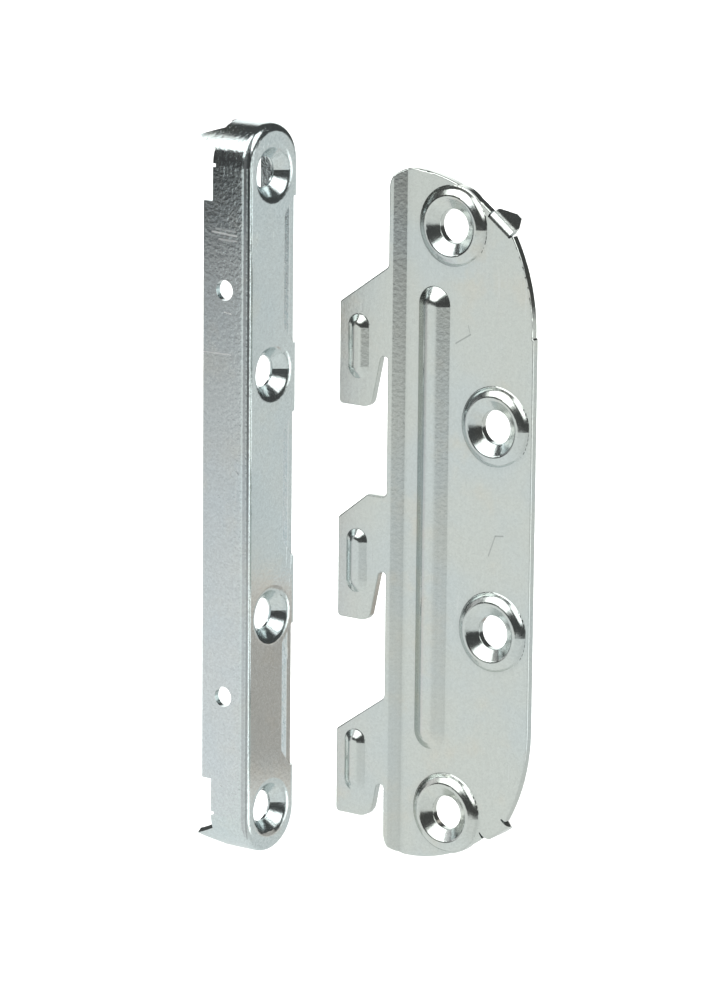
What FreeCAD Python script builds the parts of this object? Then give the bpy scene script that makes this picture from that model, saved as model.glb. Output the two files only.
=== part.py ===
import FreeCAD, Part
import math
import os

V = FreeCAD.Vector

# Bed rail fastener in two pressed steel halves, millimetres, Z up.
# The catch plate is sunk into the bed post and its face looks along +X.
# The hook plate is screwed to the rail, stands in the XZ plane and faces -Y.

# Slots and hooks shared by both halves
PITCH = 42.0
STATIONS = (PITCH, 0.0, -PITCH)

# Catch plate pan, with the origin midway between its outer screw holes and in their throats
PAN_RISE = 0.4
PAN_LENGTH = 143.4
PAN_WIDTH = 16.0
PAN_SHEET = 1.2
PAN_BEND = 1.6
WALL_DEPTH = 10.7
END_DEPTH = 8.5
LIP_DEPTH = 4.3
DEEP_HALF = 56.8
LIP_TOP = 55.8
LIP_FROM_Y = 2.7
NICK = 0.7
SPIKE_LENGTH = 4.75
SPIKE_BASE = 4.8
SPIKE_ANGLE = 41.0
FAR_SPIKE_ANGLE = 120.0

# Catch plate holes
PAN_HOLE_R = 3.0
PAN_DIMPLE_R = 5.2
PAN_DIMPLE_RIM = 0.9
PAN_DIMPLE_DROP = 2.5
PAN_DIMPLE_ROUND = 1.7
PAN_THROAT = 0.5
PAN_THROAT_ROUND = 0.3
PAN_BACK_ROUND = 0.2
PAN_OUTER_HALF = 62.5
PAN_INNER_HALF = 23.9
SIDE_HOLE_R = 2.0
SIDE_HOLE_BACK = 5.6
SIDE_HOLE_HALF = 39.9
SIDE_HOLE_SHIFT = 0.4

# Corner slots
SLOT_RISE = 1.1
SLOT_LENGTH = 28.6
SLOT_INNER_Y = 3.4
SLOT_TAPER_Y = 3.0
SLOT_TAPER_Z = 3.4
SLOT_CUT_DEPTH = 1.35
SLOT_CORNER_R = 1.0

# Hook plate sheet and the step between hook strip and main face
SHEET = 1.5
STRIP_GAP = 0.2
STEP = 2.0
STEP_START = 1.25
STEP_END = 2.85
STEP_SOFT = 0.9
STEP_SHARP = 0.35
EDGE_ROUND = 0.3

# Hook plate place and outline
HOOK_GAP = 12.1
PLATE_Z = -1.65
PLATE_HALF = 67.0
PLATE_WIDTH = 32.2
CORNER_R = 4.0
ARC_START_X = 3.7
TOP_ARC_R = 29.3
SIDE_ARC_R = 37.0
SIDE_ARC_FROM_END = 28.8
TOOTH_FROM_X = 22.3
TOOTH_FROM_END = 10.0
EDGE_STEP = 0.3
EDGE_STEP_FROM_END = 29.4

# Hooks
HOOK_REACH = 11.35
HOOK_NOSE_TOP = -1.8
HOOK_ROOT_TOP = 6.0
HOOK_FLAT_TOP = 3.5
HOOK_FLAT_REACH = 4.4
NOTCH_TOP = -11.4
NOTCH_WIDTH = 1.65
HOOK_BOTTOMS = (-21.6, -21.4, -18.4)
HOOK_HEEL = (3.9, 3.9, 3.05)
HOOK_HEEL_R = (2.2, 2.2, 3.4)
HOOK_NOSE_R = 0.8
HOOK_ROOT_R = 1.2
HOOK_FLAT_R = 0.8
HOOK_FLAT_ROOT_R = 0.9
NOTCH_HOOK_R = 0.7
NOTCH_PLATE_R = 0.6

# Pressed beads, rib and hole bosses, all raised to the front
BEAD_X = -6.75
BEAD_HALF_W = 2.45
BEAD_CREST_HALF_W = 0.9
BEAD_LENGTH = 12.5
BEAD_RISE = 0.9
BEAD_ROUND = 1.6
BEAD_TOPS = (-3.8, -3.6, -1.3)
RIB_X = 9.5
RIB_HALF_W = 3.6
RIB_CREST_HALF_W = 1.3
RIB_FROM_END = 22.0
RIB_RISE = 1.6
RIB_ROUND = 3.0
FOOT_ROUND = 0.4
PLATE_HOLE_R = 3.25
BOSS_R = 8.0
BOSS_CREST_R = 5.7
BOSS_RISE = 1.45
BOSS_SHOULDER_R = 7.1
BOSS_SHOULDER = 0.8
BOSS_RIM = 0.3
BOSS_FOOT_ROUND = 0.3
BOSS_SHOULDER_ROUND = 1.4
BOSS_CREST_ROUND = 0.9
BOSS_HOLE_DROP = 0.2
BOSS_HOLE_ROUND = 0.3
BOSS_BACK_LIP = 0.5
OUTER_HOLE_X = 13.6
OUTER_HOLE_FROM_END = 10.1
INNER_HOLE_FROM_EDGE = 8.35
INNER_HOLE_HALF = 19.8

# Bent teeth at the two free corners
TOOTH_LENGTH = 3.2
TOOTH_INSET = 1.2
TOOTH_BEND = 0.5
TOOTH_TIP = 1.3
TOOTH_RELIEF = 0.3

# How far a cutting shape runs past the sheet, and the distance below which two places count as one
OVERCUT = 1.0
TOUCH = 1e-4

# Values that follow
PAN_END_Z = (PAN_LENGTH - PAN_WIDTH) / 2
SIDE_ARC_Z = PLATE_HALF - SIDE_ARC_FROM_END
TOOTH_TO_Z = PLATE_HALF - TOOTH_FROM_END
EDGE_STEP_Z = PLATE_HALF - EDGE_STEP_FROM_END
RIB_LENGTH = 2 * (PLATE_HALF - RIB_FROM_END)
OUTER_HOLE_HALF = PLATE_HALF - OUTER_HOLE_FROM_END
INNER_HOLE_X = PLATE_WIDTH - INNER_HOLE_FROM_EDGE
PAN_INNER_HALF_W = PAN_WIDTH / 2 - PAN_SHEET
STRIP_FRONT = PAN_INNER_HALF_W - STRIP_GAP - SHEET
FACE_FRONT = STRIP_FRONT + STEP
FACE_BACK = FACE_FRONT + SHEET
PAN_FACE = PAN_DIMPLE_DROP + PAN_THROAT / 2
PLATE_X = PAN_FACE + HOOK_GAP + HOOK_REACH


def rounded_wire(corners, place):
    """Closed wire through (a, b, radius) corners, each laid in space by place(a, b)."""
    count = len(corners)
    starts = []
    ends = []
    mids = []
    for i in range(count):
        a, b, r = corners[i]
        pa, pb = corners[i - 1][:2]
        na, nb = corners[(i + 1) % count][:2]
        la = math.hypot(pa - a, pb - b)
        lb = math.hypot(na - a, nb - b)
        ua, ub = (pa - a) / la, (pb - b) / la
        wa, wb = (na - a) / lb, (nb - b) / lb
        half = math.acos(max(-1.0, min(1.0, ua * wa + ub * wb))) / 2
        cut = r / math.tan(half)
        starts.append((a + ua * cut, b + ub * cut))
        ends.append((a + wa * cut, b + wb * cut))
        ca, cb = ua + wa, ub + wb
        lc = math.hypot(ca, cb) or 1.0
        reach = r / math.sin(half) - r
        mids.append((a + ca / lc * reach, b + cb / lc * reach))
    edges = []
    for i in range(count):
        if corners[i][2] > 0:
            arc = Part.Arc(place(*starts[i]), place(*mids[i]), place(*ends[i]))
            edges.append(arc.toShape())
        start = place(*ends[i])
        end = place(*starts[(i + 1) % count])
        if start.distanceToPoint(end) > 1e-6:
            edges.append(Part.makeLine(start, end))
    return Part.Wire(edges)


def obround(half_w, length, place):
    """Upright obround wire of the given half width and overall length."""
    half_s = length / 2 - half_w
    edges = [
        Part.makeLine(place(half_w, -half_s), place(half_w, half_s)),
        Part.Arc(place(half_w, half_s), place(0, half_s + half_w), place(-half_w, half_s)).toShape(),
        Part.makeLine(place(-half_w, half_s), place(-half_w, -half_s)),
        Part.Arc(place(-half_w, -half_s), place(0, -half_s - half_w), place(half_w, -half_s)).toShape(),
    ]
    return Part.Wire(edges)


def box(x0, x1, y0, y1, z0, z1):
    """Box between two corners."""
    return Part.makeBox(x1 - x0, y1 - y0, z1 - z0, V(x0, y0, z0))


def pan_prism(half_w, front, back):
    """Obround prism of the pan's plan, from the front plane back along -X."""
    length = PAN_LENGTH - PAN_WIDTH + 2 * half_w
    wire = obround(half_w, length, lambda a, b: V(front, a, b + PAN_RISE))
    return Part.Face(wire).extrude(V(back - front, 0, 0))


def front_edges(solid, x):
    """Edges of a solid that lie wholly in the plane at x."""
    return [e for e in solid.Edges if abs(e.BoundBox.XMin - x) < TOUCH and abs(e.BoundBox.XMax - x) < TOUCH]


def pan_shell(back):
    """Open pan of even sheet with a rounded front bend."""
    outer = pan_prism(PAN_WIDTH / 2, 0.0, -back)
    outer = outer.makeFillet(PAN_BEND, front_edges(outer, 0.0))
    inner = pan_prism(PAN_INNER_HALF_W, -PAN_SHEET, -back - OVERCUT)
    inner = inner.makeFillet(PAN_BEND - PAN_SHEET, front_edges(inner, -PAN_SHEET))
    return outer.cut(inner)


def spike(sign, degrees):
    """Pointed tab on the back edge of one end wall, turned round the end from the visible side."""
    angle = math.radians(degrees)
    out = V(0, -math.cos(angle), sign * math.sin(angle))
    along = V(0, math.sin(angle), sign * math.cos(angle))
    centre = V(-END_DEPTH, 0, PAN_RISE + sign * PAN_END_Z)
    root = centre + out * (PAN_WIDTH / 2 - 2 * PAN_SHEET)
    corners = (
        root + along * (SPIKE_BASE / 2) + V(PAN_SHEET, 0, 0),
        root + along * (SPIKE_BASE / 2),
        root + V(-SPIKE_LENGTH, 0, 0),
        root - along * (SPIKE_BASE / 2),
        root - along * (SPIKE_BASE / 2) + V(PAN_SHEET, 0, 0),
    )
    prism = Part.Face(Part.makePolygon(list(corners) + [corners[0]])).extrude(out * (4 * PAN_SHEET))
    front = -END_DEPTH + PAN_SHEET
    back = -END_DEPTH - SPIKE_LENGTH - OVERCUT
    ring = pan_prism(PAN_WIDTH / 2, front, back).cut(pan_prism(PAN_INNER_HALF_W, front, back))
    return ring.common(prism)


def slot_cutter(z):
    """Corner slot with its two ends tapering towards the far edge."""
    half = SLOT_LENGTH / 2
    outer_y = SLOT_INNER_Y + SLOT_TAPER_Y
    corners = (
        (SLOT_INNER_Y, z - half + SLOT_TAPER_Z, SLOT_CORNER_R),
        (outer_y, z - half, 0.0),
        (PAN_WIDTH, z - half, 0.0),
        (PAN_WIDTH, z + half, 0.0),
        (outer_y, z + half, 0.0),
        (SLOT_INNER_Y, z + half - SLOT_TAPER_Z, SLOT_CORNER_R),
    )
    wire = rounded_wire(corners, lambda a, b: V(-SLOT_CUT_DEPTH, a, b))
    return Part.Face(wire).extrude(V(SLOT_CUT_DEPTH + OVERCUT, 0, 0))


def pan_dimple(z):
    """Sunk countersink of even sheet round one screw hole, turned about X."""
    slope = math.atan2(PAN_DIMPLE_DROP, PAN_DIMPLE_R - PAN_HOLE_R)
    rim = PAN_DIMPLE_R + PAN_DIMPLE_RIM
    off_r = PAN_SHEET * math.sin(slope)
    off_x = PAN_SHEET * math.cos(slope)
    foot_r = PAN_DIMPLE_R + off_r - (PAN_SHEET - off_x) / math.tan(slope)
    corners = (
        (rim, 0.0, 0.0),
        (PAN_DIMPLE_R, 0.0, PAN_DIMPLE_ROUND),
        (PAN_HOLE_R, -PAN_DIMPLE_DROP, PAN_THROAT_ROUND),
        (PAN_HOLE_R, -PAN_DIMPLE_DROP - PAN_THROAT, 0.0),
        (PAN_HOLE_R + off_r, -PAN_DIMPLE_DROP - off_x, PAN_BACK_ROUND),
        (foot_r, -PAN_SHEET, 0.0),
        (rim, -PAN_SHEET, 0.0),
    )
    wire = rounded_wire(corners, lambda a, b: V(b, a, z))
    return Part.Face(wire).revolve(V(0, 0, z), V(1, 0, 0), 360)


def make_catch_plate():
    """Slotted pan with walls, lip, spikes, dimpled screw holes and side holes."""
    pan = pan_shell(WALL_DEPTH)
    half_w = PAN_WIDTH / 2
    rim = PAN_DIMPLE_R + PAN_DIMPLE_RIM
    back = -WALL_DEPTH - OVERCUT
    top = PAN_LENGTH
    cutters = []
    for sign in (1, -1):
        low, high = sorted((PAN_RISE + sign * DEEP_HALF, sign * top))
        cutters.append(box(back, -END_DEPTH, -PAN_WIDTH, PAN_WIDTH, low, high))
        nick_low = PAN_RISE + sign * PAN_END_Z - NICK / 2
        cutters.append(box(back, -END_DEPTH + NICK, -PAN_WIDTH, -half_w / 2, nick_low, nick_low + NICK))
    cutters.append(box(back, -LIP_DEPTH, LIP_FROM_Y, PAN_WIDTH, -top, PAN_RISE + LIP_TOP))
    for z in STATIONS:
        cutters.append(slot_cutter(SLOT_RISE + z))
    for z in (SIDE_HOLE_HALF, -SIDE_HOLE_HALF):
        at = V(-SIDE_HOLE_BACK, -PAN_WIDTH, z + SIDE_HOLE_SHIFT)
        cutters.append(Part.makeCylinder(SIDE_HOLE_R, PAN_WIDTH, at, V(0, 1, 0)))
    holes = (PAN_OUTER_HALF, PAN_INNER_HALF, -PAN_INNER_HALF, -PAN_OUTER_HALF)
    for z in holes:
        cutters.append(Part.makeCylinder(rim, PAN_SHEET * 2, V(-PAN_SHEET * 1.5, 0, z), V(1, 0, 0)))
    pan = pan.cut(cutters)
    added = [pan_dimple(z) for z in holes]
    added += [spike(1, SPIKE_ANGLE), spike(1, FAR_SPIKE_ANGLE), spike(-1, SPIKE_ANGLE)]
    pan = pan.fuse(added).removeSplitter()
    pan.translate(V(PAN_FACE, 0, 0))
    return pan


def on_face(y):
    """Placer for hook plate points given from the strip's edge and the plate's centre."""
    return lambda a, b: V(PLATE_X + a, y, PLATE_Z + b)


def hook_corners(index):
    """Outline corners of one hook, from its root top down to its notch. The middle hook has a flat top."""
    z = STATIONS[index]
    bottom = z + HOOK_BOTTOMS[index]
    nose = z + HOOK_NOSE_TOP
    notch = z + NOTCH_TOP
    if index == len(STATIONS) // 2:
        flat = z + HOOK_FLAT_TOP
        head = [(0.0, flat, HOOK_FLAT_ROOT_R), (-HOOK_FLAT_REACH, flat, HOOK_FLAT_R)]
    else:
        head = [(0.0, z + HOOK_ROOT_TOP, HOOK_ROOT_R)]
    return head + [
        (-HOOK_REACH, nose, HOOK_NOSE_R),
        (-HOOK_REACH, bottom, HOOK_NOSE_R),
        (-HOOK_HEEL[index], bottom, HOOK_HEEL_R[index]),
        (-NOTCH_WIDTH, notch, NOTCH_HOOK_R),
        (0.0, notch, NOTCH_PLATE_R),
    ]


def arc_mid(a, b, radius, bulge):
    """Point half way along an arc of the given radius, bulging to one side of a chord."""
    half = (b - a).Length / 2
    sag = radius - math.sqrt(radius * radius - half * half)
    side = V(-(b - a).z, 0, (b - a).x).normalize()
    if side.dot(bulge) < 0:
        side = -side
    return (a + b) * 0.5 + side * sag


def corner_points(sign):
    """Ends of the arcs that meet at the upper (1) or lower (-1) tooth, as offsets on the plate."""
    free_edge = PLATE_WIDTH - EDGE_STEP if sign > 0 else PLATE_WIDTH
    run = TOOTH_FROM_X - ARC_START_X
    tooth_a_z = PLATE_HALF - (TOP_ARC_R - math.sqrt(TOP_ARC_R ** 2 - run ** 2))
    rise = TOOTH_TO_Z - SIDE_ARC_Z
    tooth_b_x = free_edge - (SIDE_ARC_R - math.sqrt(SIDE_ARC_R ** 2 - rise ** 2))
    return (TOOTH_FROM_X, sign * tooth_a_z), (tooth_b_x, sign * TOOTH_TO_Z)


def side_arc(sign, y):
    """Arc of the free edge that runs up to the upper (1) or down to the lower (-1) tooth."""
    place = on_face(y)
    tooth_end = corner_points(sign)[1]
    straight_end = (PLATE_WIDTH - EDGE_STEP, EDGE_STEP_Z) if sign > 0 else (PLATE_WIDTH, -SIDE_ARC_Z)
    a = place(*tooth_end)
    b = place(*straight_end)
    return Part.Arc(a, arc_mid(a, b, SIDE_ARC_R, V(1, 0, 0)), b).toShape()


def plate_outline(y):
    """Closed outline of the hook plate in the plane at y."""
    place = on_face(y)
    left = [(0.0, PLATE_HALF, CORNER_R)]
    for index in range(len(STATIONS)):
        left += hook_corners(index)
    left += [(0.0, -PLATE_HALF, CORNER_R), (ARC_START_X, -PLATE_HALF, 0.0), (ARC_START_X, PLATE_HALF, 0.0)]
    body = Part.Face(rounded_wire(left, place))
    (upper_ax, upper_az), (upper_bx, upper_bz) = corner_points(1)
    (lower_ax, lower_az), (lower_bx, lower_bz) = corner_points(-1)
    step_x = PLATE_WIDTH - EDGE_STEP
    points = [
        place(ARC_START_X, PLATE_HALF),
        place(upper_ax, upper_az),
        place(upper_bx, upper_bz),
        place(step_x, EDGE_STEP_Z),
        place(PLATE_WIDTH, EDGE_STEP_Z - EDGE_STEP),
        place(PLATE_WIDTH, -SIDE_ARC_Z),
        place(lower_bx, lower_bz),
        place(lower_ax, lower_az),
        place(ARC_START_X, -PLATE_HALF),
    ]
    edges = [
        Part.Arc(points[0], arc_mid(points[0], points[1], TOP_ARC_R, V(0, 0, 1)), points[1]).toShape(),
        Part.makeLine(points[1], points[2]),
        side_arc(1, y),
        Part.makeLine(points[3], points[4]),
        Part.makeLine(points[4], points[5]),
        side_arc(-1, y),
        Part.makeLine(points[6], points[7]),
        Part.Arc(points[7], arc_mid(points[7], points[8], TOP_ARC_R, V(0, 0, -1)), points[8]).toShape(),
        Part.makeLine(points[8], points[0]),
    ]
    wing = Part.Face(Part.Wire(edges))
    return body, wing


def stepped_sheet():
    """Sheet with the step between hook strip and main face, taller than the plate."""
    slope = math.atan2(STEP, STEP_END - STEP_START)
    shift = SHEET * math.tan(slope / 2)
    far_left = -HOOK_REACH - OVERCUT
    far_right = PLATE_WIDTH + OVERCUT
    corners = (
        (far_left, STRIP_FRONT, 0.0),
        (STEP_START, STRIP_FRONT, STEP_SOFT),
        (STEP_END, FACE_FRONT, STEP_SHARP),
        (far_right, FACE_FRONT, 0.0),
        (far_right, FACE_BACK, 0.0),
        (STEP_END - shift, FACE_BACK, STEP_SOFT),
        (STEP_START - shift, FACE_BACK - STEP, STEP_SHARP),
        (far_left, FACE_BACK - STEP, 0.0),
    )
    reach = PLATE_HALF + OVERCUT
    wire = rounded_wire(corners, lambda a, b: V(PLATE_X + a, b, PLATE_Z - reach))
    return Part.Face(wire).extrude(V(0, 0, 2 * reach))


def flat_edges(solid, y):
    """Edges of a solid that lie wholly in the plane at y."""
    return [e for e in solid.Edges if abs(e.BoundBox.YMin - y) < TOUCH and abs(e.BoundBox.YMax - y) < TOUCH]


def foot_edges(solid, x, z, half_w, length, front):
    """Edges where an obround pressing meets the sheet round it."""
    low = on_face(front)(x - half_w, z - length / 2)
    high = on_face(front)(x + half_w, z + length / 2)
    around = FreeCAD.BoundBox(low, high)
    around.enlarge(10 * TOUCH)
    return [edge for edge in flat_edges(solid, front) if around.isInside(edge.BoundBox)]


def raised_obround(x, z, half_w, crest_half_w, length, rise, front, crest_round):
    """Front swelling and back hollow of an obround pressing, as two solids."""
    inset = half_w - crest_half_w
    lip = SHEET * math.tan(math.atan2(rise, inset) / 2)

    def swelling(base_y, shrink, height):
        """Tapered obround raised from one plane."""
        base = obround(half_w - shrink, length - 2 * shrink, on_face(base_y))
        crest = obround(crest_half_w - shrink, length - 2 * inset - 2 * shrink, on_face(base_y - height))
        solid = Part.makeLoft([base, crest], True, True)
        solid.translate(V(x, 0, z))
        return solid

    outside = swelling(front, 0.0, rise)
    outside = outside.makeFillet(crest_round, flat_edges(outside, front - rise))
    return outside, swelling(front + SHEET, lip, rise)


def boss(x, z):
    """Raised ring of even sheet round one screw hole, with the countersink inside it."""
    foot = BOSS_R - BOSS_RIM
    back = BOSS_BACK_LIP / 2
    corners = (
        (BOSS_R, 0.0, 0.0),
        (foot, 0.0, BOSS_FOOT_ROUND),
        (BOSS_SHOULDER_R, BOSS_SHOULDER, BOSS_SHOULDER_ROUND),
        (BOSS_CREST_R, BOSS_RISE, BOSS_CREST_ROUND),
        (PLATE_HOLE_R, -BOSS_HOLE_DROP, BOSS_HOLE_ROUND),
        (PLATE_HOLE_R, -SHEET, 0.0),
        (PLATE_HOLE_R + BOSS_BACK_LIP, -SHEET, 0.0),
        (BOSS_CREST_R - back, BOSS_RISE - SHEET, BOSS_FOOT_ROUND),
        (BOSS_SHOULDER_R - back, BOSS_SHOULDER - SHEET, BOSS_FOOT_ROUND),
        (foot - BOSS_BACK_LIP, -SHEET, 0.0),
        (BOSS_R, -SHEET, 0.0),
    )
    centre = on_face(FACE_FRONT)(x, z)
    wire = rounded_wire(corners, lambda a, b: centre + V(a, -b, 0))
    return Part.Face(wire).revolve(centre, V(0, 1, 0), 360)


def corner_chord(sign, y):
    """Ends of one free corner's chord in the plane at y, and unit vectors along it and out of the plate."""
    a, b = [on_face(y)(*point) for point in corner_points(sign)]
    along = (b - a).normalize()
    out = V(-along.z, 0, along.x)
    if out.x < 0:
        out = -out
    return a, b, along, out


def tooth(sign):
    """Triangular tooth bent back from the chord at one free corner."""
    a, b, along, out = corner_chord(sign, 0.0)
    width = (b - a).Length
    mid = (a + b) * 0.5 - out * TOOTH_INSET
    outer = TOOTH_BEND + SHEET
    centre_y = FACE_BACK + TOOTH_BEND

    def at(n, y):
        """Point n out from the bend's start, at height y of the sheet."""
        return mid + out * n + V(0, y, 0)

    quarter = math.sqrt(0.5)
    crown = at(outer * quarter, centre_y - outer * quarter)
    crook = at(TOOTH_BEND * quarter, centre_y - TOOTH_BEND * quarter)
    tip_y = centre_y + TOOTH_LENGTH
    edges = [
        Part.makeLine(at(-SHEET, FACE_BACK), at(-SHEET, FACE_FRONT)),
        Part.makeLine(at(-SHEET, FACE_FRONT), at(0, FACE_FRONT)),
        Part.Arc(at(0, FACE_FRONT), crown, at(outer, centre_y)).toShape(),
        Part.makeLine(at(outer, centre_y), at(outer, tip_y)),
        Part.makeLine(at(outer, tip_y), at(TOOTH_BEND, tip_y)),
        Part.makeLine(at(TOOTH_BEND, tip_y), at(TOOTH_BEND, centre_y)),
        Part.Arc(at(TOOTH_BEND, centre_y), crook, at(0, FACE_BACK)).toShape(),
        Part.makeLine(at(0, FACE_BACK), at(-SHEET, FACE_BACK)),
    ]
    strip = Part.Face(Part.Wire(edges)).extrude(along * width)
    strip.translate(along * (-width / 2))
    profile = (
        (-width / 2, FACE_FRONT - OVERCUT),
        (width / 2, FACE_FRONT - OVERCUT),
        (width / 2, centre_y),
        (TOOTH_TIP / 2, tip_y),
        (-TOOTH_TIP / 2, tip_y),
        (-width / 2, centre_y),
    )
    points = [mid + along * s + V(0, y, 0) - out * (2 * SHEET) for s, y in profile]
    mask = Part.Face(Part.makePolygon(points + [points[0]])).extrude(out * (6 * SHEET))
    return strip.common(mask)


def tooth_gap(sign):
    """Cut that moves the corner chord back to where the tooth starts to bend."""
    front = FACE_FRONT - OVERCUT
    a, b, along, out = corner_chord(sign, front)
    a = a - out * TOOTH_INSET - along * TOOTH_RELIEF
    b = b - out * TOOTH_INSET + along * TOOTH_RELIEF
    square_to_edge = (b - side_arc(sign, front).Curve.Center).normalize()
    points = [a, b, b + square_to_edge * (3 * SHEET), a + out * (3 * SHEET)]
    return Part.Face(Part.makePolygon(points + [points[0]])).extrude(V(0, SHEET + 2 * OVERCUT, 0))


def facing(face, edge):
    """Outward normal of a face at the middle of one of its edges."""
    mid = edge.valueAt((edge.FirstParameter + edge.LastParameter) / 2)
    u, v = face.Surface.parameter(mid)
    return face.normalAt(u, v)


def sheared_edges(solid):
    """Edges where the front of the sheet meets its cut outline."""
    front_lean = 0.3
    side_lean = 0.05
    sides = {}
    for face in solid.Faces:
        for edge in face.Edges:
            sides.setdefault(edge.hashCode(), []).append((facing(face, edge).y, edge))
    found = []
    for pair in sides.values():
        tilts = sorted(y for y, _ in pair)
        if len(tilts) == 2 and tilts[0] < -front_lean and abs(tilts[1]) < side_lean:
            found.append(pair[0][1])
    return found


def make_hook_plate():
    """Stepped plate with three hooks, beads, rib, hole bosses and two teeth."""
    front = STRIP_FRONT - OVERCUT
    through = V(0, FACE_BACK - front + OVERCUT, 0)
    body, wing = plate_outline(front)
    blank = body.extrude(through).fuse(wing.extrude(through)).removeSplitter()
    plate = stepped_sheet().common(blank)
    outline = Part.makeCompound(sheared_edges(plate))
    plate = plate.cut([tooth_gap(1), tooth_gap(-1)])
    rounded = []
    for edge in sheared_edges(plate):
        mid = edge.valueAt((edge.FirstParameter + edge.LastParameter) / 2)
        if Part.Vertex(mid).distToShape(outline)[0] < TOUCH:
            rounded.append(edge)
    plate = plate.makeFillet(EDGE_ROUND, rounded)
    swellings = []
    hollows = []
    pressings = [(RIB_X, 0.0, RIB_HALF_W, RIB_LENGTH, FACE_FRONT)]
    swell, hollow = raised_obround(
        RIB_X, 0.0, RIB_HALF_W, RIB_CREST_HALF_W, RIB_LENGTH, RIB_RISE, FACE_FRONT, RIB_ROUND)
    swellings.append(swell)
    hollows.append(hollow)
    for index, z in enumerate(STATIONS):
        bead_z = z + BEAD_TOPS[index] - BEAD_LENGTH / 2
        pressings.append((BEAD_X, bead_z, BEAD_HALF_W, BEAD_LENGTH, STRIP_FRONT))
        swell, hollow = raised_obround(
            BEAD_X, bead_z, BEAD_HALF_W, BEAD_CREST_HALF_W, BEAD_LENGTH, BEAD_RISE, STRIP_FRONT, BEAD_ROUND)
        swellings.append(swell)
        hollows.append(hollow)
    holes = []
    for x, half in ((OUTER_HOLE_X, OUTER_HOLE_HALF), (INNER_HOLE_X, INNER_HOLE_HALF)):
        holes += [(x, half), (x, -half)]
    for x, z in holes:
        at = on_face(FACE_FRONT - OVERCUT)(x, z)
        hollows.append(Part.makeCylinder(BOSS_R, SHEET + 2 * OVERCUT, at, V(0, 1, 0)))
    plate = plate.fuse(swellings).removeSplitter()
    feet = []
    for pressing in pressings:
        feet += foot_edges(plate, *pressing)
    plate = plate.makeFillet(FOOT_ROUND, feet).cut(hollows)
    added = [boss(x, z) for x, z in holes]
    added += [tooth(1), tooth(-1)]
    return plate.fuse(added).removeSplitter()


os.makedirs("parts", exist_ok=True)
for name, make in (("catch_plate", make_catch_plate), ("hook_plate", make_hook_plate)):
    shape = make()
    if len(shape.Solids) == 1:
        shape = shape.Solids[0]
    print(name, shape.ShapeType, shape.isValid(), len(shape.Solids), round(shape.Volume, 1), shape.BoundBox)
    shape.exportStep("parts/" + name + ".step")
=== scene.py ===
"""Looks of a two-part bed rail fastener in bright zinc plated sheet steel."""
import logging
import math
from dataclasses import dataclass, field
from enum import Enum

import bpy
from mathutils import Matrix, Vector


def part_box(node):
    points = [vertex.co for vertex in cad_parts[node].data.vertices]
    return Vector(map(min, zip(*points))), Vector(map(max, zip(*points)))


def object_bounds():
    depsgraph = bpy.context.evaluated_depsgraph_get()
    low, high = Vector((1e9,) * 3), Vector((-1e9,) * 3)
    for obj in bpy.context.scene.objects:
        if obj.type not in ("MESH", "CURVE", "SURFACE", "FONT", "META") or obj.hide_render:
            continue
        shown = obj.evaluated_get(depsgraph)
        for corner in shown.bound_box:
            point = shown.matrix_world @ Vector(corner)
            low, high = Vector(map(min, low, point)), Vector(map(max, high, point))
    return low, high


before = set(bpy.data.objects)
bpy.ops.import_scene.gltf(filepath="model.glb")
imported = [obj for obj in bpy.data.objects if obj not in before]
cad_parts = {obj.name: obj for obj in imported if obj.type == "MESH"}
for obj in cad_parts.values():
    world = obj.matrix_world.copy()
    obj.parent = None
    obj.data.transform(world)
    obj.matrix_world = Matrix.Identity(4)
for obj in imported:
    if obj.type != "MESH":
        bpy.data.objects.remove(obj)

logging.basicConfig(level=logging.INFO, format="%(name)s: %(message)s")
LOG = logging.getLogger("bed_rail_fastener")

Colour = tuple[float, float, float]
Point = tuple[float, float, float]
Flat = tuple[float, float]
Socket = bpy.types.NodeSocket
MM = 0.001
BLACK: Colour = (0.0, 0.0, 0.0)
WHITE: Colour = (1.0, 1.0, 1.0)
BARE: Colour = (0.95, 0.95, 0.95)
SOILED: Colour = (0.34, 0.36, 0.35)
CAD_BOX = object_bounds()

# Planes of the catch plate's wall and of the hook plate's face, in millimetres along Y
WALL_Y = -8.0
FACE_Y = 7.1


class Half(Enum):
    """The two halves of the fastener, by node name."""

    CATCH = "catch_plate"
    HOOK = "hook_plate"


class PanelRole(Enum):
    """What a light panel does in the studio."""

    KEY = "key"
    FILL = "fill"
    RIM = "rim"
    SIDE = "side"


@dataclass(frozen=True)
class Scratch:
    """One thin straight scratch in an upright plane, in millimetres.

    Attributes:
        plane: Place of the plane along Y.
        start: One end, along X and Z.
        end: Other end, along X and Z.
        width: Width of the scratch.
        colour: Colour of the metal in it.
        strength: How far the colour covers the plating.
        dull: How much duller the scratch is than the plating.
    """

    plane: float
    start: Flat
    end: Flat
    width: float
    colour: Colour
    strength: float
    dull: float = 0.0


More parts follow.
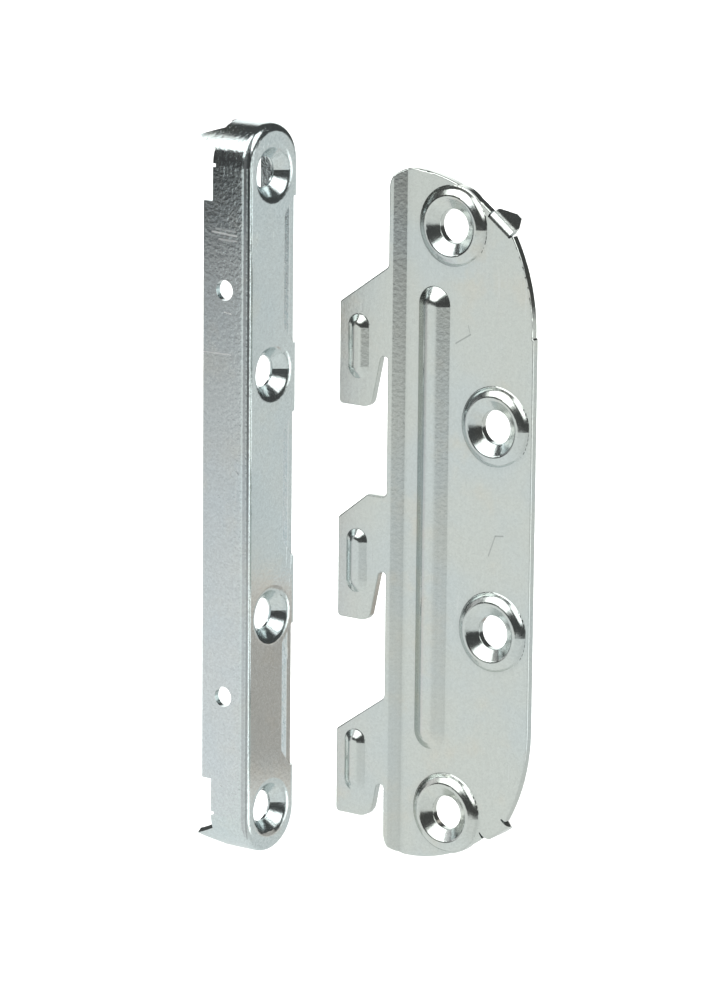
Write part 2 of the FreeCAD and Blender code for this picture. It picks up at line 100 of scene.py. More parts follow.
@dataclass(frozen=True)
class ZincFinish:
    """Bright zinc plating on pressed sheet steel.

    Attributes:
        name: Name of the material.
        pale: Colour of the plain plating.
        cool: Bluish tint of the passivation.
        warm: Straw tint in the thin places of the passivation.
        roughness: Gloss of the flat sheet.
        patch_mm: Size of the tinted patches.
        grain_mm: Size of the plating's grain.
        line_mm: Spacing of the fine rolling lines.
        line_along_z: True if the rolling lines run along the part's height.
        scratch_share: Share of the surface that carries light scratches.
        relief_mm: Height of the grain.
        speckle: How much lighter and darker single grains are.
        wall_relief: How many times higher the grain is on walls that face along Y.
        scratches: Single scratches.
    """

    name: str
    pale: Colour
    cool: Colour
    warm: Colour
    roughness: float
    patch_mm: float
    grain_mm: float
    line_mm: float
    line_along_z: bool
    scratch_share: float
    relief_mm: float
    speckle: float
    wall_relief: float = 1.0
    scratches: tuple[Scratch, ...] = ()


@dataclass(frozen=True)
class PlatingWear:
    """How far the shared effects show in the plating of both halves.

    Attributes:
        recess_mm: How far the painted shade reaches from a corner.
        dull: Colour of the painted shade in slots, bowls and corners.
        recess_shade_share: How far the painted shade covers the plating.
        edge_mm: Width of the worn edges that also carry a painted highlight.
        edge_wear_highlight: Colour of the edges, partly wear from rubbing and partly a painted highlight.
        edge_wear_highlight_share: How far it covers the plating.
        marked: Colour of light scratches.
        marked_share: How far it covers the plating.
        grain_gloss: Roughness that the grain adds.
        line_gloss: Roughness that the rolling lines add.
        rubbed_gloss: Roughness that rubbing takes away.
        grain_height: Share of the relief that the grain takes.
        line_height: Share of the relief that the rolling lines take.
        mark_depth: Share of the relief that a light scratch is deep.
        bump: Strength of the relief.
        brushed: How far reflections stretch along the sheet.
        line_stretch: How far the rolling lines are squeezed along their run.
    """

    recess_mm: float = 1.6
    # Painted shade laid into slots, bowls and corners
    dull: Colour = (0.30, 0.33, 0.33)
    recess_shade_share: float = 0.8
    edge_mm: float = 0.35
    # Light edge colour: partly wear from rubbing, partly a painted highlight
    edge_wear_highlight: Colour = (0.86, 0.88, 0.88)
    edge_wear_highlight_share: float = 0.6
    marked: Colour = (0.80, 0.82, 0.82)
    marked_share: float = 0.25
    grain_gloss: float = 0.06
    line_gloss: float = 0.08
    rubbed_gloss: float = 0.05
    grain_height: float = 0.6
    line_height: float = 0.08
    mark_depth: float = 0.3
    bump: float = 0.5
    brushed: float = 0.25
    line_stretch: float = 0.03


class NodeBench:
    """Adds, feeds and links the nodes of one shader tree."""

    def __init__(self, tree: bpy.types.NodeTree) -> None:
        """Keep the tree to work on."""
        self.tree = tree

    def node(self, kind: str, **settings: object) -> bpy.types.Node:
        """Add a node with its settings.

        Args:
            kind: Node type.
            settings: Attributes to set on the node.

        Returns:
            The new node.
        """
        made = self.tree.nodes.new(kind)
        for key, value in settings.items():
            setattr(made, key, value)
        return made

    def feed(self, slot: Socket, term: object) -> None:
        """Link a socket to another one, or set its value.

        Args:
            slot: Socket to feed.
            term: Socket, number, vector or colour.
        """
        if isinstance(term, Socket):
            self.tree.links.new(term, slot)
        elif slot.type == "RGBA":
            slot.default_value = (*term, 1.0)
        else:
            slot.default_value = term

    def maths(self, operation: str, *terms: object) -> Socket:
        """Add a maths node.

        Args:
            operation: Name of the operation.
            terms: Numbers or sockets, in order.

        Returns:
            The result's socket.
        """
        made = self.node("ShaderNodeMath", operation=operation)
        for slot, term in zip(made.inputs, terms):
            self.feed(slot, term)
        return made.outputs[0]

    def add_up(self, start: object, parts: tuple[tuple[Socket, float], ...]) -> Socket:
        """Add shares of several values to a start.

        Args:
            start: Number or socket to start from.
            parts: Each value with its share.

        Returns:
            The sum's socket.
        """
        for value, share in parts:
            start = self.maths("MULTIPLY_ADD", value, share, start)
        return start

    def vectors(self, operation: str, *terms: object) -> bpy.types.Node:
        """Add a vector maths node.

        Args:
            operation: Name of the operation.
            terms: Vectors or sockets, in order.

        Returns:
            The new node.
        """
        made = self.node("ShaderNodeVectorMath", operation=operation)
        for slot, term in zip(made.inputs, terms):
            self.feed(slot, term)
        return made

    def scaled(self, vector: object, factor: object) -> Socket:
        """Scale a vector or a colour.

        Args:
            vector: Vector or socket.
            factor: Number or socket.

        Returns:
            The scaled vector's socket.
        """
        made = self.vectors("SCALE", vector)
        self.feed(made.inputs["Scale"], factor)
        return made.outputs[0]

    def rise(self, value: Socket, low: object, high: object) -> Socket:
        """Soft step from 0 at low to 1 at high.

        Args:
            value: Socket to read.
            low: Number or socket where the step starts.
            high: Number or socket where it ends.

        Returns:
            The step's socket.
        """
        made = self.node("ShaderNodeMapRange", interpolation_type="SMOOTHSTEP")
        for name, term in (("Value", value), ("From Min", low), ("From Max", high)):
            self.feed(made.inputs[name], term)
        return made.outputs["Result"]

    def blend(self, low: object, high: object, share: Socket) -> Socket:
        """Mix two colours.

        Args:
            low: Colour or socket that shows where the share is 0.
            high: Colour or socket that shows where it is 1.
            share: Share of the second colour.

        Returns:
            The mixed colour's socket.
        """
        made = self.node("ShaderNodeMix", data_type="RGBA")
        self.feed(made.inputs[0], share)
        sides = [slot for slot in made.inputs if slot.type == "RGBA"]
        for slot, term in zip(sides, (low, high)):
            self.feed(slot, term)
        return next(slot for slot in made.outputs if slot.type == "RGBA")

    def noise(self, place: Socket, scale: object, **settings: float) -> Socket:
        """Add a noise texture.

        Args:
            place: Where to read the noise.
            scale: Number or socket for its fineness.
            settings: Values of its other inputs.

        Returns:
            The noise's socket.
        """
        made = self.node("ShaderNodeTexNoise")
        self.feed(made.inputs["Vector"], place)
        self.feed(made.inputs["Scale"], scale)
        for name, value in settings.items():
            made.inputs[name].default_value = value
        return made.outputs["Fac"]


class GroupMaker(NodeBench):
    """Builds one shader node group."""

    def __init__(
        self, name: str, places: tuple[str, ...], values: dict[str, float], gives: tuple[str, ...],
    ) -> None:
        """Start a group with its sockets.

        Args:
            name: Name of the group.
            places: Names of the inputs that take a vector.
            values: Names and defaults of the inputs that take a number.
            gives: Names of the outputs, which are all numbers.
        """
        super().__init__(bpy.data.node_groups.new(name, "ShaderNodeTree"))
        sockets = self.tree.interface
        for place in places:
            sockets.new_socket(name=place, in_out="INPUT", socket_type="NodeSocketVector")
        for key, value in values.items():
            made = sockets.new_socket(name=key, in_out="INPUT", socket_type="NodeSocketFloat")
            made.default_value = value
        for result in gives:
            sockets.new_socket(name=result, in_out="OUTPUT", socket_type="NodeSocketFloat")
        self.given = self.node("NodeGroupInput").outputs
        self.results = self.node("NodeGroupOutput").inputs

    def give(self, name: str, value: Socket) -> None:
        """Send a value to one of the group's outputs."""
        self.feed(self.results[name], value)


def patch_group() -> bpy.types.NodeTree:
    """Soft clouds of tint in the passivation.

    Returns:
        A group with the inputs Place and Size and the outputs Cool and Warm.
    """
    cool_span = (0.38, 0.66)
    warm_span = (0.50, 0.74)
    warm_offset = (31.0, 17.0, 53.0)
    warm_fineness = 1.7
    make = GroupMaker("passivation_clouds", ("Place",), {"Size": 20.0}, ("Cool", "Warm"))
    place = make.given["Place"]
    scale = make.maths("DIVIDE", 1.0, make.given["Size"])
    cool = make.noise(place, scale, Detail=3.0, Roughness=0.55)
    moved = make.vectors("ADD", place, warm_offset).outputs[0]
    warm = make.noise(moved, make.maths("MULTIPLY", scale, warm_fineness), Detail=4.0, Roughness=0.6)
    make.give("Cool", make.rise(cool, *cool_span))
    make.give("Warm", make.rise(warm, *warm_span))
    return make.tree


def grain_group() -> bpy.types.NodeTree:
    """Fine crystals of the plating.

    Returns:
        A group with the inputs Place and Size and the outputs Height and Tone.
    """
    ripple_fineness = 0.45
    half = 0.5
    make = GroupMaker("plating_grain", ("Place",), {"Size": 0.5}, ("Height", "Tone"))
    place = make.given["Place"]
    scale = make.maths("DIVIDE", 1.0, make.given["Size"])
    cells = make.node("ShaderNodeTexVoronoi", feature="F1")
    make.feed(cells.inputs["Vector"], place)
    make.feed(cells.inputs["Scale"], scale)
    split = make.node("ShaderNodeSeparateColor")
    make.feed(split.inputs[0], cells.outputs["Color"])
    ripple = make.noise(place, make.maths("MULTIPLY", scale, ripple_fineness), Detail=4.0)
    crystal = make.maths("MULTIPLY", split.outputs[0], half)
    make.give("Height", ripple)
    make.give("Tone", make.add_up(crystal, ((ripple, half),)))
    return make.tree


def line_group() -> bpy.types.NodeTree:
    """Fine rolling lines and a few light scratches.

    Returns:
        A group with the inputs Place, Spacing, Stretch and Share and the outputs Lines and Scratches.
    """
    scratch_turn = (0.5, 0.7, 0.4)
    scratch_squeeze = (1.0, 1.0, 0.05)
    scratch_fineness = 2.2
    scratch_span = (0.66, 0.72)
    field_fineness = 0.07
    field_limit = 0.62
    field_gain = -0.3
    values = {"Spacing": 0.4, "Share": 0.2}
    make = GroupMaker("rolling_lines", ("Place", "Stretch"), values, ("Lines", "Scratches"))
    place = make.given["Place"]
    squeezed = make.vectors("MULTIPLY", place, make.given["Stretch"]).outputs[0]
    lines = make.noise(squeezed, make.maths("DIVIDE", 1.0, make.given["Spacing"]), Detail=3.0)
    turned = make.node("ShaderNodeMapping")
    for name, term in (("Vector", place), ("Rotation", scratch_turn), ("Scale", scratch_squeeze)):
        make.feed(turned.inputs[name], term)
    marks = make.rise(make.noise(turned.outputs[0], scratch_fineness, Detail=1.0), *scratch_span)
    limit = make.add_up(field_limit, ((make.given["Share"], field_gain),))
    there = make.maths("GREATER_THAN", make.noise(place, field_fineness), limit)
    make.give("Lines", lines)
    make.give("Scratches", make.maths("MULTIPLY", marks, there))
    return make.tree


def edge_wear_and_highlight_group() -> bpy.types.NodeTree:
    """Mask of cut and worn edges, found by comparing the true normal with a rounded one; the plating lays
    a painted highlight on it.

    Returns:
        A group with the input Width and the output Edge.
    """
    turn_span = (0.02, 0.22)
    make = GroupMaker("rubbed_edges_and_painted_highlight", (), {"Width": 0.0004}, ("Edge",))
    rounded = make.node("ShaderNodeBevel", samples=6)
    make.feed(rounded.inputs["Radius"], make.given["Width"])
    true = make.node("ShaderNodeNewGeometry")
    same = make.vectors("DOT_PRODUCT", rounded.outputs["Normal"], true.outputs["Normal"]).outputs["Value"]
    make.give("Edge", make.rise(make.maths("SUBTRACT", 1.0, same), *turn_span))
    return make.tree


def recess_shade_group() -> bpy.types.NodeTree:
    """Painted shade: darker colour in slots, bowls and the foot of a pressing, driven by ambient
    occlusion.

    Returns:
        A group with the input Reach and the output Open, which is 1 on an open face.
    """
    open_span = (0.35, 1.0)
    make = GroupMaker("painted_recess_shade", (), {"Reach": 0.004}, ("Open",))
    shelter = make.node("ShaderNodeAmbientOcclusion", samples=12)
    make.feed(shelter.inputs["Distance"], make.given["Reach"])
    make.give("Open", make.rise(shelter.outputs["AO"], *open_span))
    return make.tree


def wall_group() -> bpy.types.NodeTree:
    """Mask of the drawn walls, whose faces look along Y.

    Returns:
        A group with the output Wall.
    """
    facing_span = (0.98, 1.0)
    make = GroupMaker("drawn_walls", (), {}, ("Wall",))
    split = make.node("ShaderNodeSeparateXYZ")
    make.feed(split.inputs[0], make.node("ShaderNodeNewGeometry").outputs["Normal"])
    make.give("Wall", make.rise(make.maths("ABSOLUTE", split.outputs["Y"]), *facing_span))
    return make.tree


def stroke_group() -> bpy.types.NodeTree:
    """One thin straight scratch, by the distance from its line.

    Returns:
        A group with the inputs Place, Start, Run and Width and the output Scratch.
    """
    fade_span = (0.6, 0.2)
    make = GroupMaker("straight_scratch", ("Place", "Start", "Run"), {"Width": 0.2}, ("Scratch",))
    run = make.given["Run"]
    away = make.vectors("SUBTRACT", make.given["Place"], make.given["Start"]).outputs[0]
    reach = make.vectors("DOT_PRODUCT", away, run).outputs["Value"]
    along = make.maths("DIVIDE", reach, make.vectors("DOT_PRODUCT", run, run).outputs["Value"])
    along = make.maths("MINIMUM", make.maths("MAXIMUM", along, 0.0), 1.0)
    beside = make.vectors("SUBTRACT", away, make.scaled(run, along)).outputs[0]
    gap = make.vectors("LENGTH", beside).outputs["Value"]
    make.give("Scratch", make.rise(make.maths("DIVIDE", gap, make.given["Width"]), *fade_span))
    return make.tree


@dataclass
class FinishShop:
    """The node groups that all plating shares."""

    clouds: bpy.types.NodeTree = field(default_factory=patch_group)
    grain: bpy.types.NodeTree = field(default_factory=grain_group)
    lines: bpy.types.NodeTree = field(default_factory=line_group)
    edges: bpy.types.NodeTree = field(default_factory=edge_wear_and_highlight_group)
    recess_shading: bpy.types.NodeTree = field(default_factory=recess_shade_group)
    walls: bpy.types.NodeTree = field(default_factory=wall_group)
    strokes: bpy.types.NodeTree = field(default_factory=stroke_group)


class Plating(NodeBench):
    """Shader nodes of one half's zinc plating."""

    wear = PlatingWear()

    def __init__(self, finish: ZincFinish, shop: FinishShop) -> None:
        """Start the material and place its effects.

        Args:
            finish: The plating's colours and sizes.
            shop: Shared node groups.
        """
        self.material = bpy.data.materials.new(finish.name)
        self.material.use_nodes = True
        super().__init__(self.material.node_tree)
        self.finish = finish
        wear = self.wear
        self.shader = self.tree.nodes["Principled BSDF"]
        self.shader.inputs["Metallic"].default_value = 1.0
        self.shader.inputs["Anisotropic"].default_value = wear.brushed
        self.place = self.scaled(self.node("ShaderNodeTexCoord").outputs["Object"], 1.0 / MM)
        squeeze = wear.line_stretch
        stretch = (1.0, 1.0, squeeze) if finish.line_along_z else (squeeze, squeeze, 1.0)
        self.clouds = self.put(shop.clouds, Size=finish.patch_mm)
        self.grain = self.put(shop.grain, Size=finish.grain_mm)
        share = finish.scratch_share
        self.lines = self.put(shop.lines, Spacing=finish.line_mm, Stretch=stretch, Share=share)
        self.edges = self.put(shop.edges, Width=wear.edge_mm * MM)
        self.recess_shading = self.put(shop.recess_shading, Reach=wear.recess_mm * MM)
        self.walls = self.put(shop.walls)
        self.strokes: list[tuple[Scratch, Socket]] = []
        for mark in finish.scratches:
            start = (mark.start[0], mark.plane, mark.start[1])
            run = (mark.end[0] - mark.start[0], 0.0, mark.end[1] - mark.start[1])
            stroke = self.put(shop.strokes, Start=start, Run=run, Width=mark.width)
            self.strokes.append((mark, stroke["Scratch"]))

    def put(self, group: bpy.types.NodeTree, **values: object) -> bpy.types.NodeOutputs:
        """Place a group with its own values.

        Args:
            group: The node group.
            values: Values of its inputs.

        Returns:
            The group's outputs.
        """
        made = self.node("ShaderNodeGroup", node_tree=group)
        if "Place" in made.inputs:
            self.feed(made.inputs["Place"], self.place)
        for key, value in values.items():
            made.inputs[key].default_value = value
        return made.outputs

    def colour(self) -> Socket:
        """Tint, grain, painted shade in slots and bowls, worn edges with a painted highlight, and
        scratches.

        Returns:
            The colour's socket.
        """
        wear = self.wear
        finish = self.finish
        tint = self.blend(finish.pale, finish.cool, self.clouds["Cool"])
        tint = self.blend(tint, finish.warm, self.clouds["Warm"])
        speck = self.add_up(1.0 - finish.speckle, ((self.grain["Tone"], 2.0 * finish.speckle),))
        shade = self.scaled(tint, speck)
        # Painted shade: ambient occlusion darkens slots, bowls and corners towards the dull colour
        painted_shade = self.add_up(wear.recess_shade_share, ((self.recess_shading["Open"], -wear.recess_shade_share),))
        shade = self.blend(shade, wear.dull, painted_shade)
        layers = [
            # Edges get a lighter colour: partly wear, partly a painted highlight
            (wear.edge_wear_highlight, self.edges["Edge"], wear.edge_wear_highlight_share),
            (wear.marked, self.lines["Scratches"], wear.marked_share),
        ]
        layers += [(mark.colour, stroke, mark.strength) for mark, stroke in self.strokes]
        for layer, mask, share in layers:
            shade = self.blend(shade, layer, self.maths("MULTIPLY", mask, share))
        return shade

    def gloss(self) -> Socket:
        """Roughness of the plating, its grain, lines, edges and scratches.

        Returns:
            The roughness's socket.
        """
        wear = self.wear
        parts = (
            (self.grain["Tone"], wear.grain_gloss),
            (self.lines["Lines"], wear.line_gloss),
            (self.edges["Edge"], -wear.rubbed_gloss),
            *((stroke, mark.dull) for mark, stroke in self.strokes),
        )
        return self.add_up(self.finish.roughness - wear.grain_gloss, parts)

    def relief(self) -> Socket:
        """Bump of the grain, the lines and the light scratches.

        Returns:
            The normal's socket.
        """
        wear = self.wear
        middle = 0.5
        coarse = self.add_up(1.0, ((self.walls["Wall"], self.finish.wall_relief - 1.0),))
        ripple = self.maths("MULTIPLY", self.maths("SUBTRACT", self.grain["Height"], middle), coarse)
        height = self.add_up(0.0, (
            (ripple, wear.grain_height),
            (self.lines["Lines"], wear.line_height),
            (self.lines["Scratches"], -wear.mark_depth),
        ))
        bump = self.node("ShaderNodeBump")
        bump.inputs["Strength"].default_value = wear.bump
        bump.inputs["Distance"].default_value = self.finish.relief_mm * MM
        self.feed(bump.inputs["Height"], height)
        return bump.outputs["Normal"]

    def build(self) -> bpy.types.Material:
        """Send the effects to the shader.

        Returns:
            The material.
        """
        results = {"Base Color": self.colour(), "Roughness": self.gloss(), "Normal": self.relief()}
        for name, result in results.items():
            self.feed(self.shader.inputs[name], result)
        return self.material


@dataclass
class PressedHalf:
    """One half of the fastener, a CAD node that keeps its shape and gets its plating."""

    half: Half
    finish: ZincFinish

    def dress(self, shop: FinishShop) -> bpy.types.Object:
        """Give the half its plating.

        Args:
            shop: Shared node groups.

        Returns:
            The half's object.
        """
        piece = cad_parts[self.half.value]
        piece.data.materials.clear()
        piece.data.materials.append(Plating(self.finish, shop).build())
        low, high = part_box(self.half.value)
        size = [round((b - a) / MM, 1) for a, b in zip(low, high)]
        LOG.info("%s dressed in %s, %s mm", self.half.value, self.finish.name, size)
        return piece


@dataclass
class CatchPlate(PressedHalf):
    """The slotted pan that is let into the bed post."""

    half: Half = Half.CATCH
    finish: ZincFinish = ZincFinish(
        name="catch_zinc_plating",
        pale=(0.70, 0.755, 0.76),
        cool=(0.68, 0.75, 0.77),
        warm=(0.71, 0.75, 0.735),
        roughness=0.16,
        patch_mm=16.0,
        grain_mm=0.32,
        line_mm=0.45,
        line_along_z=False,
        scratch_share=0.2,
        relief_mm=0.1,
        speckle=0.12,
        wall_relief=4.5,
        scratches=(
            Scratch(WALL_Y, (-5.8, 51.4), (0.0, 51.0), 0.45, BARE, 0.9, 0.4),
            Scratch(WALL_Y, (-5.0, 52.0), (-0.2, 51.8), 0.35, BARE, 0.6, 0.25),
            Scratch(WALL_Y, (-4.2, 50.1), (0.1, 50.0), 0.35, BARE, 0.8, 0.3),
            Scratch(WALL_Y, (-7.8, 27.9), (-1.3, 28.0), 0.25, BARE, 0.8, 0.3),
            Scratch(WALL_Y, (-2.8, 36.1), (-1.3, 35.9), 0.35, BARE, 0.8, 0.3),
        ),
    )


@dataclass
class HookPlate(PressedHalf):
    """The flat half with three hooks that is screwed to the bed rail."""

    half: Half = Half.HOOK
    finish: ZincFinish = ZincFinish(
        name="hook_zinc_plating",
        pale=(0.68, 0.705, 0.675),
        cool=(0.655, 0.70, 0.70),
        warm=(0.705, 0.70, 0.645),
        roughness=0.16,
        patch_mm=20.0,
        grain_mm=0.34,
        line_mm=0.5,
        line_along_z=True,
        scratch_share=0.1,
        relief_mm=0.05,
        speckle=0.08,
        scratches=(
            Scratch(FACE_Y, (40.7, 33.1), (44.0, 35.1), 0.35, SOILED, 0.6),
            Scratch(FACE_Y, (44.0, 35.1), (43.5, 36.8), 0.3, SOILED, 0.4),
            Scratch(FACE_Y, (48.9, -6.7), (50.4, -2.7), 0.35, SOILED, 0.5),
            Scratch(FACE_Y, (50.4, -2.7), (52.2, -2.5), 0.35, SOILED, 0.6),
        ),
    )


@dataclass
class PhotoCamera:
    """The photograph's view, with sizes in millimetres, degrees and pixels.

    Attributes:
        target: Point that the view turns about.
        azimuth: Turn of the camera round the fastener, from straight in front.
        elevation: Height of the camera.
        roll: Turn of the picture.
        distance: From the target to the camera.
        scale: Pixels for a millimetre at the target.
        principal: Pixel where the target lies.
        frame_px: Width and height of the picture.
        sensor_mm: Height of the sensor.
        near_m: Nearest point in view, in metres.
        far_m: Farthest point in view, in metres.
    """

    target: Point = (17.75, 0.0, 0.0)
    azimuth: float = 37.0
    elevation: float = 12.32
    roll: float = -0.49
    distance: float = 1000.44
    scale: float = 5.24
    principal: Flat = (334.3, 505.0)
    frame_px: tuple[int, int] = (724, 1000)
    sensor_mm: float = 24.0
    near_m: float = 0.01
    far_m: float = 50.0

    def build(self) -> bpy.types.Object:
        """Create the camera and make it the scene's own.

        Returns:
            The camera.
        """
        a, e, t = (math.radians(v) for v in (self.azimuth, self.elevation, self.roll))
        back = Vector((math.sin(a) * math.cos(e), -math.cos(a) * math.cos(e), math.sin(e)))
        right = Vector((math.cos(a), math.sin(a), 0.0))
        up = Vector((-math.sin(e) * math.sin(a), math.sin(e) * math.cos(a), math.cos(e)))
        turned_right = math.cos(t) * right - math.sin(t) * up
        turned_up = math.sin(t) * right + math.cos(t) * up
        data = bpy.data.cameras.new("photo_camera")
        width, height = self.frame_px
        data.sensor_fit = "VERTICAL"
        data.sensor_height = self.sensor_mm
        data.lens = self.scale * self.distance / height * self.sensor_mm
        data.shift_x = (width / 2 - self.principal[0]) / height
        data.shift_y = (self.principal[1] - height / 2) / height
        data.clip_start = self.near_m
        data.clip_end = self.far_m
        camera = bpy.data.objects.new("photo_camera", data)
        bpy.context.scene.collection.objects.link(camera)
        place = Matrix((turned_right, turned_up, back)).transposed().to_4x4()
        place.translation = (Vector(self.target) + back * self.distance) * MM
        camera.matrix_world = place
        bpy.context.scene.camera = camera
        view = (self.azimuth, self.elevation, data.lens)
        LOG.info("camera at azimuth %.2f, elevation %.2f, lens %.1f mm", *view)
        return camera


@dataclass(frozen=True)
class RoomPatch:
    """A round patch of the room with a soft edge, in degrees.

    Attributes:
        azimuth: Where its middle lies, from +X.
        elevation: Height of its middle.
        radius: Reach of its full strength.
        fade: Width of its soft edge.
    """

    azimuth: float
    elevation: float
    radius: float
    fade: float

    def middle(self) -> Vector:
        """Unit vector towards the patch's middle."""
        a, e = math.radians(self.azimuth), math.radians(self.elevation)
        return Vector((math.cos(a) * math.cos(e), math.sin(a) * math.cos(e), math.sin(e)))


@dataclass(frozen=True)
class SoftBox:
    """A soft light seen in the metal.

    Attributes:
        role: What the light does.
        patch: Where it stands round the fastener.
        power: Brightness.
    """

    role: PanelRole
    patch: RoomPatch
    power: float


@dataclass(frozen=True)
class GradedCard:
    """A card beside the fastener that only the metal mirrors.

    Attributes:
        name: Name of the card.
        centre: Middle of the card, in millimetres.
        facing: Azimuth that it faces, in degrees from +X.
        width: Width in millimetres.
        tones: Height in millimetres and brightness of each step, from the foot to the top.
        tint: Colour of its light.
    """

    name: str
    centre: Flat
    facing: float
    width: float
    tones: tuple[Flat, ...]
    tint: Colour = WHITE

    def build(self) -> bpy.types.Object:
        """Create the card.

        Returns:
            The card.
        """
        foot, top = self.tones[0][0], self.tones[-1][0]
        half = self.width / 2
        mesh = bpy.data.meshes.new(self.name)
        corners = [(0.0, -half, foot), (0.0, half, foot), (0.0, half, top), (0.0, -half, top)]
        mesh.from_pydata([tuple(MM * v for v in c) for c in corners], [], [(0, 1, 2, 3)])
        card = bpy.data.objects.new(self.name, mesh)
        card.location = (self.centre[0] * MM, self.centre[1] * MM, 0.0)
        card.rotation_euler = (0.0, 0.0, math.radians(self.facing))
        bpy.context.scene.collection.objects.link(card)
        mesh.materials.append(self.paint(foot, top))
        card.visible_camera = False
        card.visible_diffuse = False
        card.visible_shadow = False
        LOG.info("%s stands at %s mm", self.name, self.centre)
        return card

    def paint(self, foot: float, top: float) -> bpy.types.Material:
        """Make the card's graded paint.

        Args:
            foot: Height of the card's foot, in millimetres.
            top: Height of its top, in millimetres.

        Returns:
            The material.
        """
        material = bpy.data.materials.new(self.name)
        material.use_nodes = True
        bench = NodeBench(material.node_tree)
        shader = bench.tree.nodes["Principled BSDF"]
        bench.feed(shader.inputs["Base Color"], BLACK)
        shader.inputs["Specular IOR Level"].default_value = 0.0
        shader.inputs["Emission Strength"].default_value = 1.0
        split = bench.node("ShaderNodeSeparateXYZ")
        bench.feed(split.inputs[0], bench.node("ShaderNodeTexCoord").outputs["Object"])
        level = bench.node("ShaderNodeMapRange")
        for name, term in (("Value", split.outputs["Z"]), ("From Min", foot * MM), ("From Max", top * MM)):
            bench.feed(level.inputs[name], term)
        ramp = bench.node("ShaderNodeValToRGB")
        steps = ramp.color_ramp.elements
        while len(steps) < len(self.tones):
            steps.new(0.5)
        for step, (z, tone) in zip(steps, self.tones):
            step.position = (z - foot) / (top - foot)
            step.color = (*(tone * c for c in self.tint), 1.0)
        bench.feed(ramp.inputs["Fac"], level.outputs["Result"])
        bench.feed(shader.inputs["Emission Color"], ramp.outputs["Color"])
        return material


class Surround(NodeBench):
    """Shader nodes of the room round the fastener: a white table, a dim room and soft boxes."""

    def __init__(self, world: bpy.types.World) -> None:
        """Start from a world with plain nodes.

        Args:
            world: The world to dress.
        """
        world.use_nodes = True
        super().__init__(world.node_tree)
        self.background = self.tree.nodes["Background"]
        self.place = self.node("ShaderNodeTexCoord").outputs["Generated"]

    def toward(self, direction: Vector) -> Socket:
        """Cosine of the angle to a direction."""
        return self.vectors("DOT_PRODUCT", self.place, direction).outputs["Value"]

    def lobe(self, patch: RoomPatch) -> Socket:
        """Mask of a round patch of the room.

        Args:
            patch: The patch.

        Returns:
            The mask's socket.
        """
        near = math.cos(math.radians(patch.radius))
        far = math.cos(math.radians(patch.radius + patch.fade))
        return self.rise(self.toward(patch.middle()), far, near)

    def finish(self, light: Socket, tint: Colour, shown: Colour) -> None:
        """Send the light to the background, with a plain tone where the room itself is in view.

        Args:
            light: Brightness of the room.
            tint: Colour of the room's light.
            shown: Tone of the backdrop.
        """
        in_view = self.node("ShaderNodeLightPath").outputs["Is Camera Ray"]
        self.feed(self.background.inputs["Color"], self.blend(self.scaled(tint, light), shown, in_view))


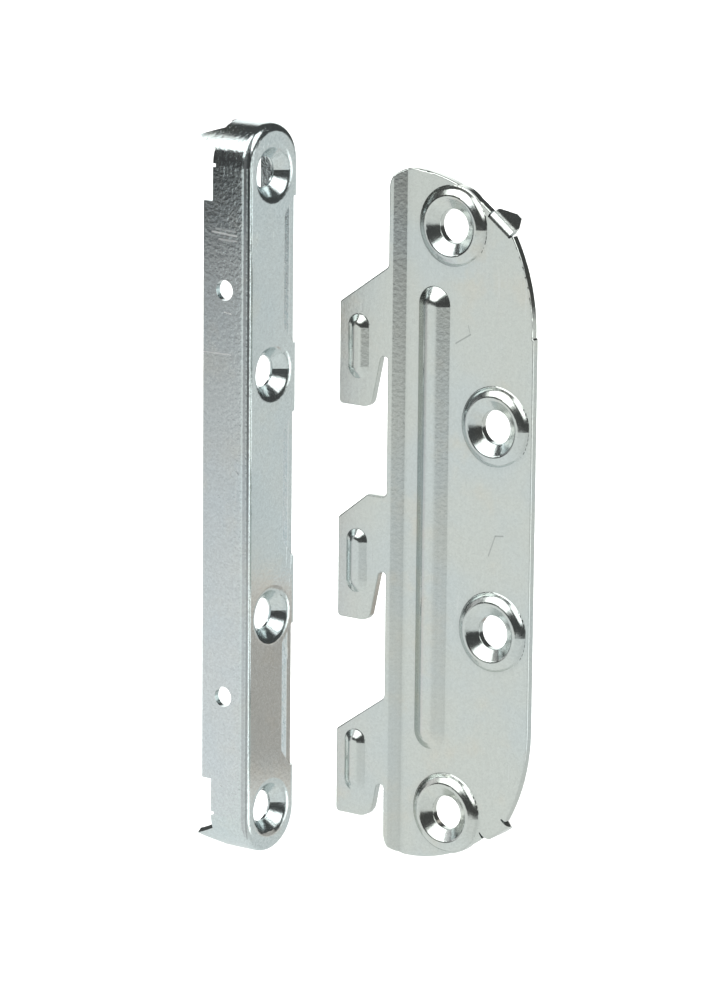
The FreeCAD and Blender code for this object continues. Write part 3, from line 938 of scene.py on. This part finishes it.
@dataclass
class Studio:
    """Pale floor, white table, soft boxes and a dim room.

    The floor is lit by an even wash. The metal mirrors the room, not the floor.

    Attributes:
        floor_drop: From the fastener's foot down to the floor, in metres.
        floor_half: Half the floor's width, in metres.
        floor_tone: Colour of the floor.
        floor_roughness: Gloss of the floor.
        wash: Strength of the floor's light.
        wash_spread: Softness of the floor's light, in degrees.
        table: Brightness of the table.
        table_edge: Height of the table's far edge, in degrees.
        table_edge_drop: How far the edge drops in front, in degrees.
        table_fade: Softness of the edge, in degrees.
        ahead: Part of the room in front.
        front_dim: How much dimmer the table is in front.
        away: Part of the room behind the hook plate.
        far_dim: How much dimmer the table is there.
        tint: Colour of the room's light.
        room: Brightness of the dim room.
        boxes: Soft lights.
        cards: Cards that only the metal mirrors.
    """

    floor_drop: float = 0.25
    floor_half: float = 9.0
    floor_tone: Colour = (0.93, 0.93, 0.93)
    floor_roughness: float = 0.9
    wash: float = 3.7
    wash_spread: float = 60.0
    table: float = 0.88
    table_edge: float = -3.5
    table_edge_drop: float = 6.0
    table_fade: float = 2.5
    ahead: RoomPatch = RoomPatch(-40.0, -10.0, 35.0, 30.0)
    front_dim: float = 0.07
    away: RoomPatch = RoomPatch(53.0, -12.0, 40.0, 40.0)
    far_dim: float = 0.16
    tint: Colour = (0.965, 1.0, 0.98)
    room: float = 0.07
    boxes: tuple[SoftBox, ...] = (
        SoftBox(PanelRole.KEY, RoomPatch(-112.0, 46.0, 24.0, 10.0), 2.2),
        SoftBox(PanelRole.FILL, RoomPatch(-14.0, 46.0, 22.0, 10.0), 2.0),
        SoftBox(PanelRole.RIM, RoomPatch(127.0, 14.0, 16.0, 12.0), 1.3),
        SoftBox(PanelRole.SIDE, RoomPatch(20.0, -10.0, 12.0, 8.0), 1.3),
    )
    cards: tuple[GradedCard, ...] = (
        GradedCard("wall_card", (-31.0, -38.0), 60.0, 26.0, (
            (-75.0, 0.86), (-30.0, 0.78), (-8.0, 0.69), (17.0, 0.55), (28.0, 0.455),
            (38.0, 0.36), (46.0, 0.20), (52.0, 0.11), (60.0, 0.05), (90.0, 0.05))),
        GradedCard("bend_card", (3.9, -7.95), 160.0, 1.2, (
            (-75.0, 0.50), (-38.0, 0.48), (-18.0, 0.52), (1.0, 0.30), (20.0, 0.16), (40.0, 0.11),
            (50.0, 0.08), (60.0, 0.05), (80.0, 0.05))),
        GradedCard("fold_card", (2.4, -9.3), 105.0, 1.6, (
            (-75.0, 0.66), (-18.0, 0.66), (1.0, 0.57), (20.0, 0.48), (40.0, 0.38),
            (50.0, 0.32), (60.0, 0.16), (80.0, 0.10))),
        GradedCard("face_card", (40.0, 50.0), -125.0, 30.0, (
            (-78.0, 0.8), (-70.0, 0.45), (-42.0, 0.45), (-31.0, 0.74)), (1.08, 1.0, 0.92)),
    )

    def floor(self) -> bpy.types.Object:
        """Create the pale floor and its wash of light.

        Returns:
            The floor.
        """
        low, _ = CAD_BOX
        mesh = bpy.data.meshes.new("studio_floor")
        z = low[2] - self.floor_drop
        h = self.floor_half
        mesh.from_pydata([(-h, -h, z), (h, -h, z), (h, h, z), (-h, h, z)], [], [(0, 1, 2, 3)])
        floor = bpy.data.objects.new("studio_floor", mesh)
        bpy.context.scene.collection.objects.link(floor)
        paint = bpy.data.materials.new("floor_paint")
        paint.use_nodes = True
        shader = paint.node_tree.nodes["Principled BSDF"]
        shader.inputs["Base Color"].default_value = (*self.floor_tone, 1.0)
        shader.inputs["Roughness"].default_value = self.floor_roughness
        mesh.materials.append(paint)
        floor.visible_glossy = False
        data = bpy.data.lights.new("floor_wash", "SUN")
        data.energy = self.wash
        data.angle = math.radians(self.wash_spread)
        light = bpy.data.objects.new("floor_wash", data)
        light.visible_glossy = False
        bpy.context.scene.collection.objects.link(light)
        return floor

    def surround(self) -> None:
        """Create the room that the metal mirrors."""
        world = bpy.data.worlds.new("studio_surround")
        bpy.context.scene.world = world
        room = Surround(world)
        height = room.toward(Vector((0.0, 0.0, 1.0)))
        ahead = room.lobe(self.ahead)
        away = room.lobe(self.away)
        heights = (self.table_edge, self.table_edge_drop, self.table_fade)
        edge, drop, fade = (math.sin(math.radians(angle)) for angle in heights)
        top = room.add_up(edge, ((ahead, -drop),))
        table = room.rise(height, room.maths("ADD", top, fade), room.maths("SUBTRACT", top, fade))
        tone = room.add_up(self.table - self.room, ((away, -self.far_dim), (ahead, -self.front_dim)))
        light = room.maths("MULTIPLY_ADD", table, tone, self.room)
        for box in self.boxes:
            light = room.add_up(light, ((room.lobe(box.patch), box.power),))
            place = (box.patch.azimuth, box.patch.elevation)
            LOG.info("%s light at azimuth %.0f, elevation %.0f", box.role.value, *place)
        room.finish(light, self.tint, WHITE)

    def build(self) -> None:
        """Create the floor, the room and the cards."""
        self.floor()
        self.surround()
        for card in self.cards:
            card.build()
        bpy.context.scene.view_settings.view_transform = "Standard"


def main() -> None:
    """Build the camera, the studio and both halves."""
    PhotoCamera().build()
    Studio().build()
    shop = FinishShop()
    for half in (CatchPlate(), HookPlate()):
        half.dress(shop)


if __name__ == "__main__":
    main()
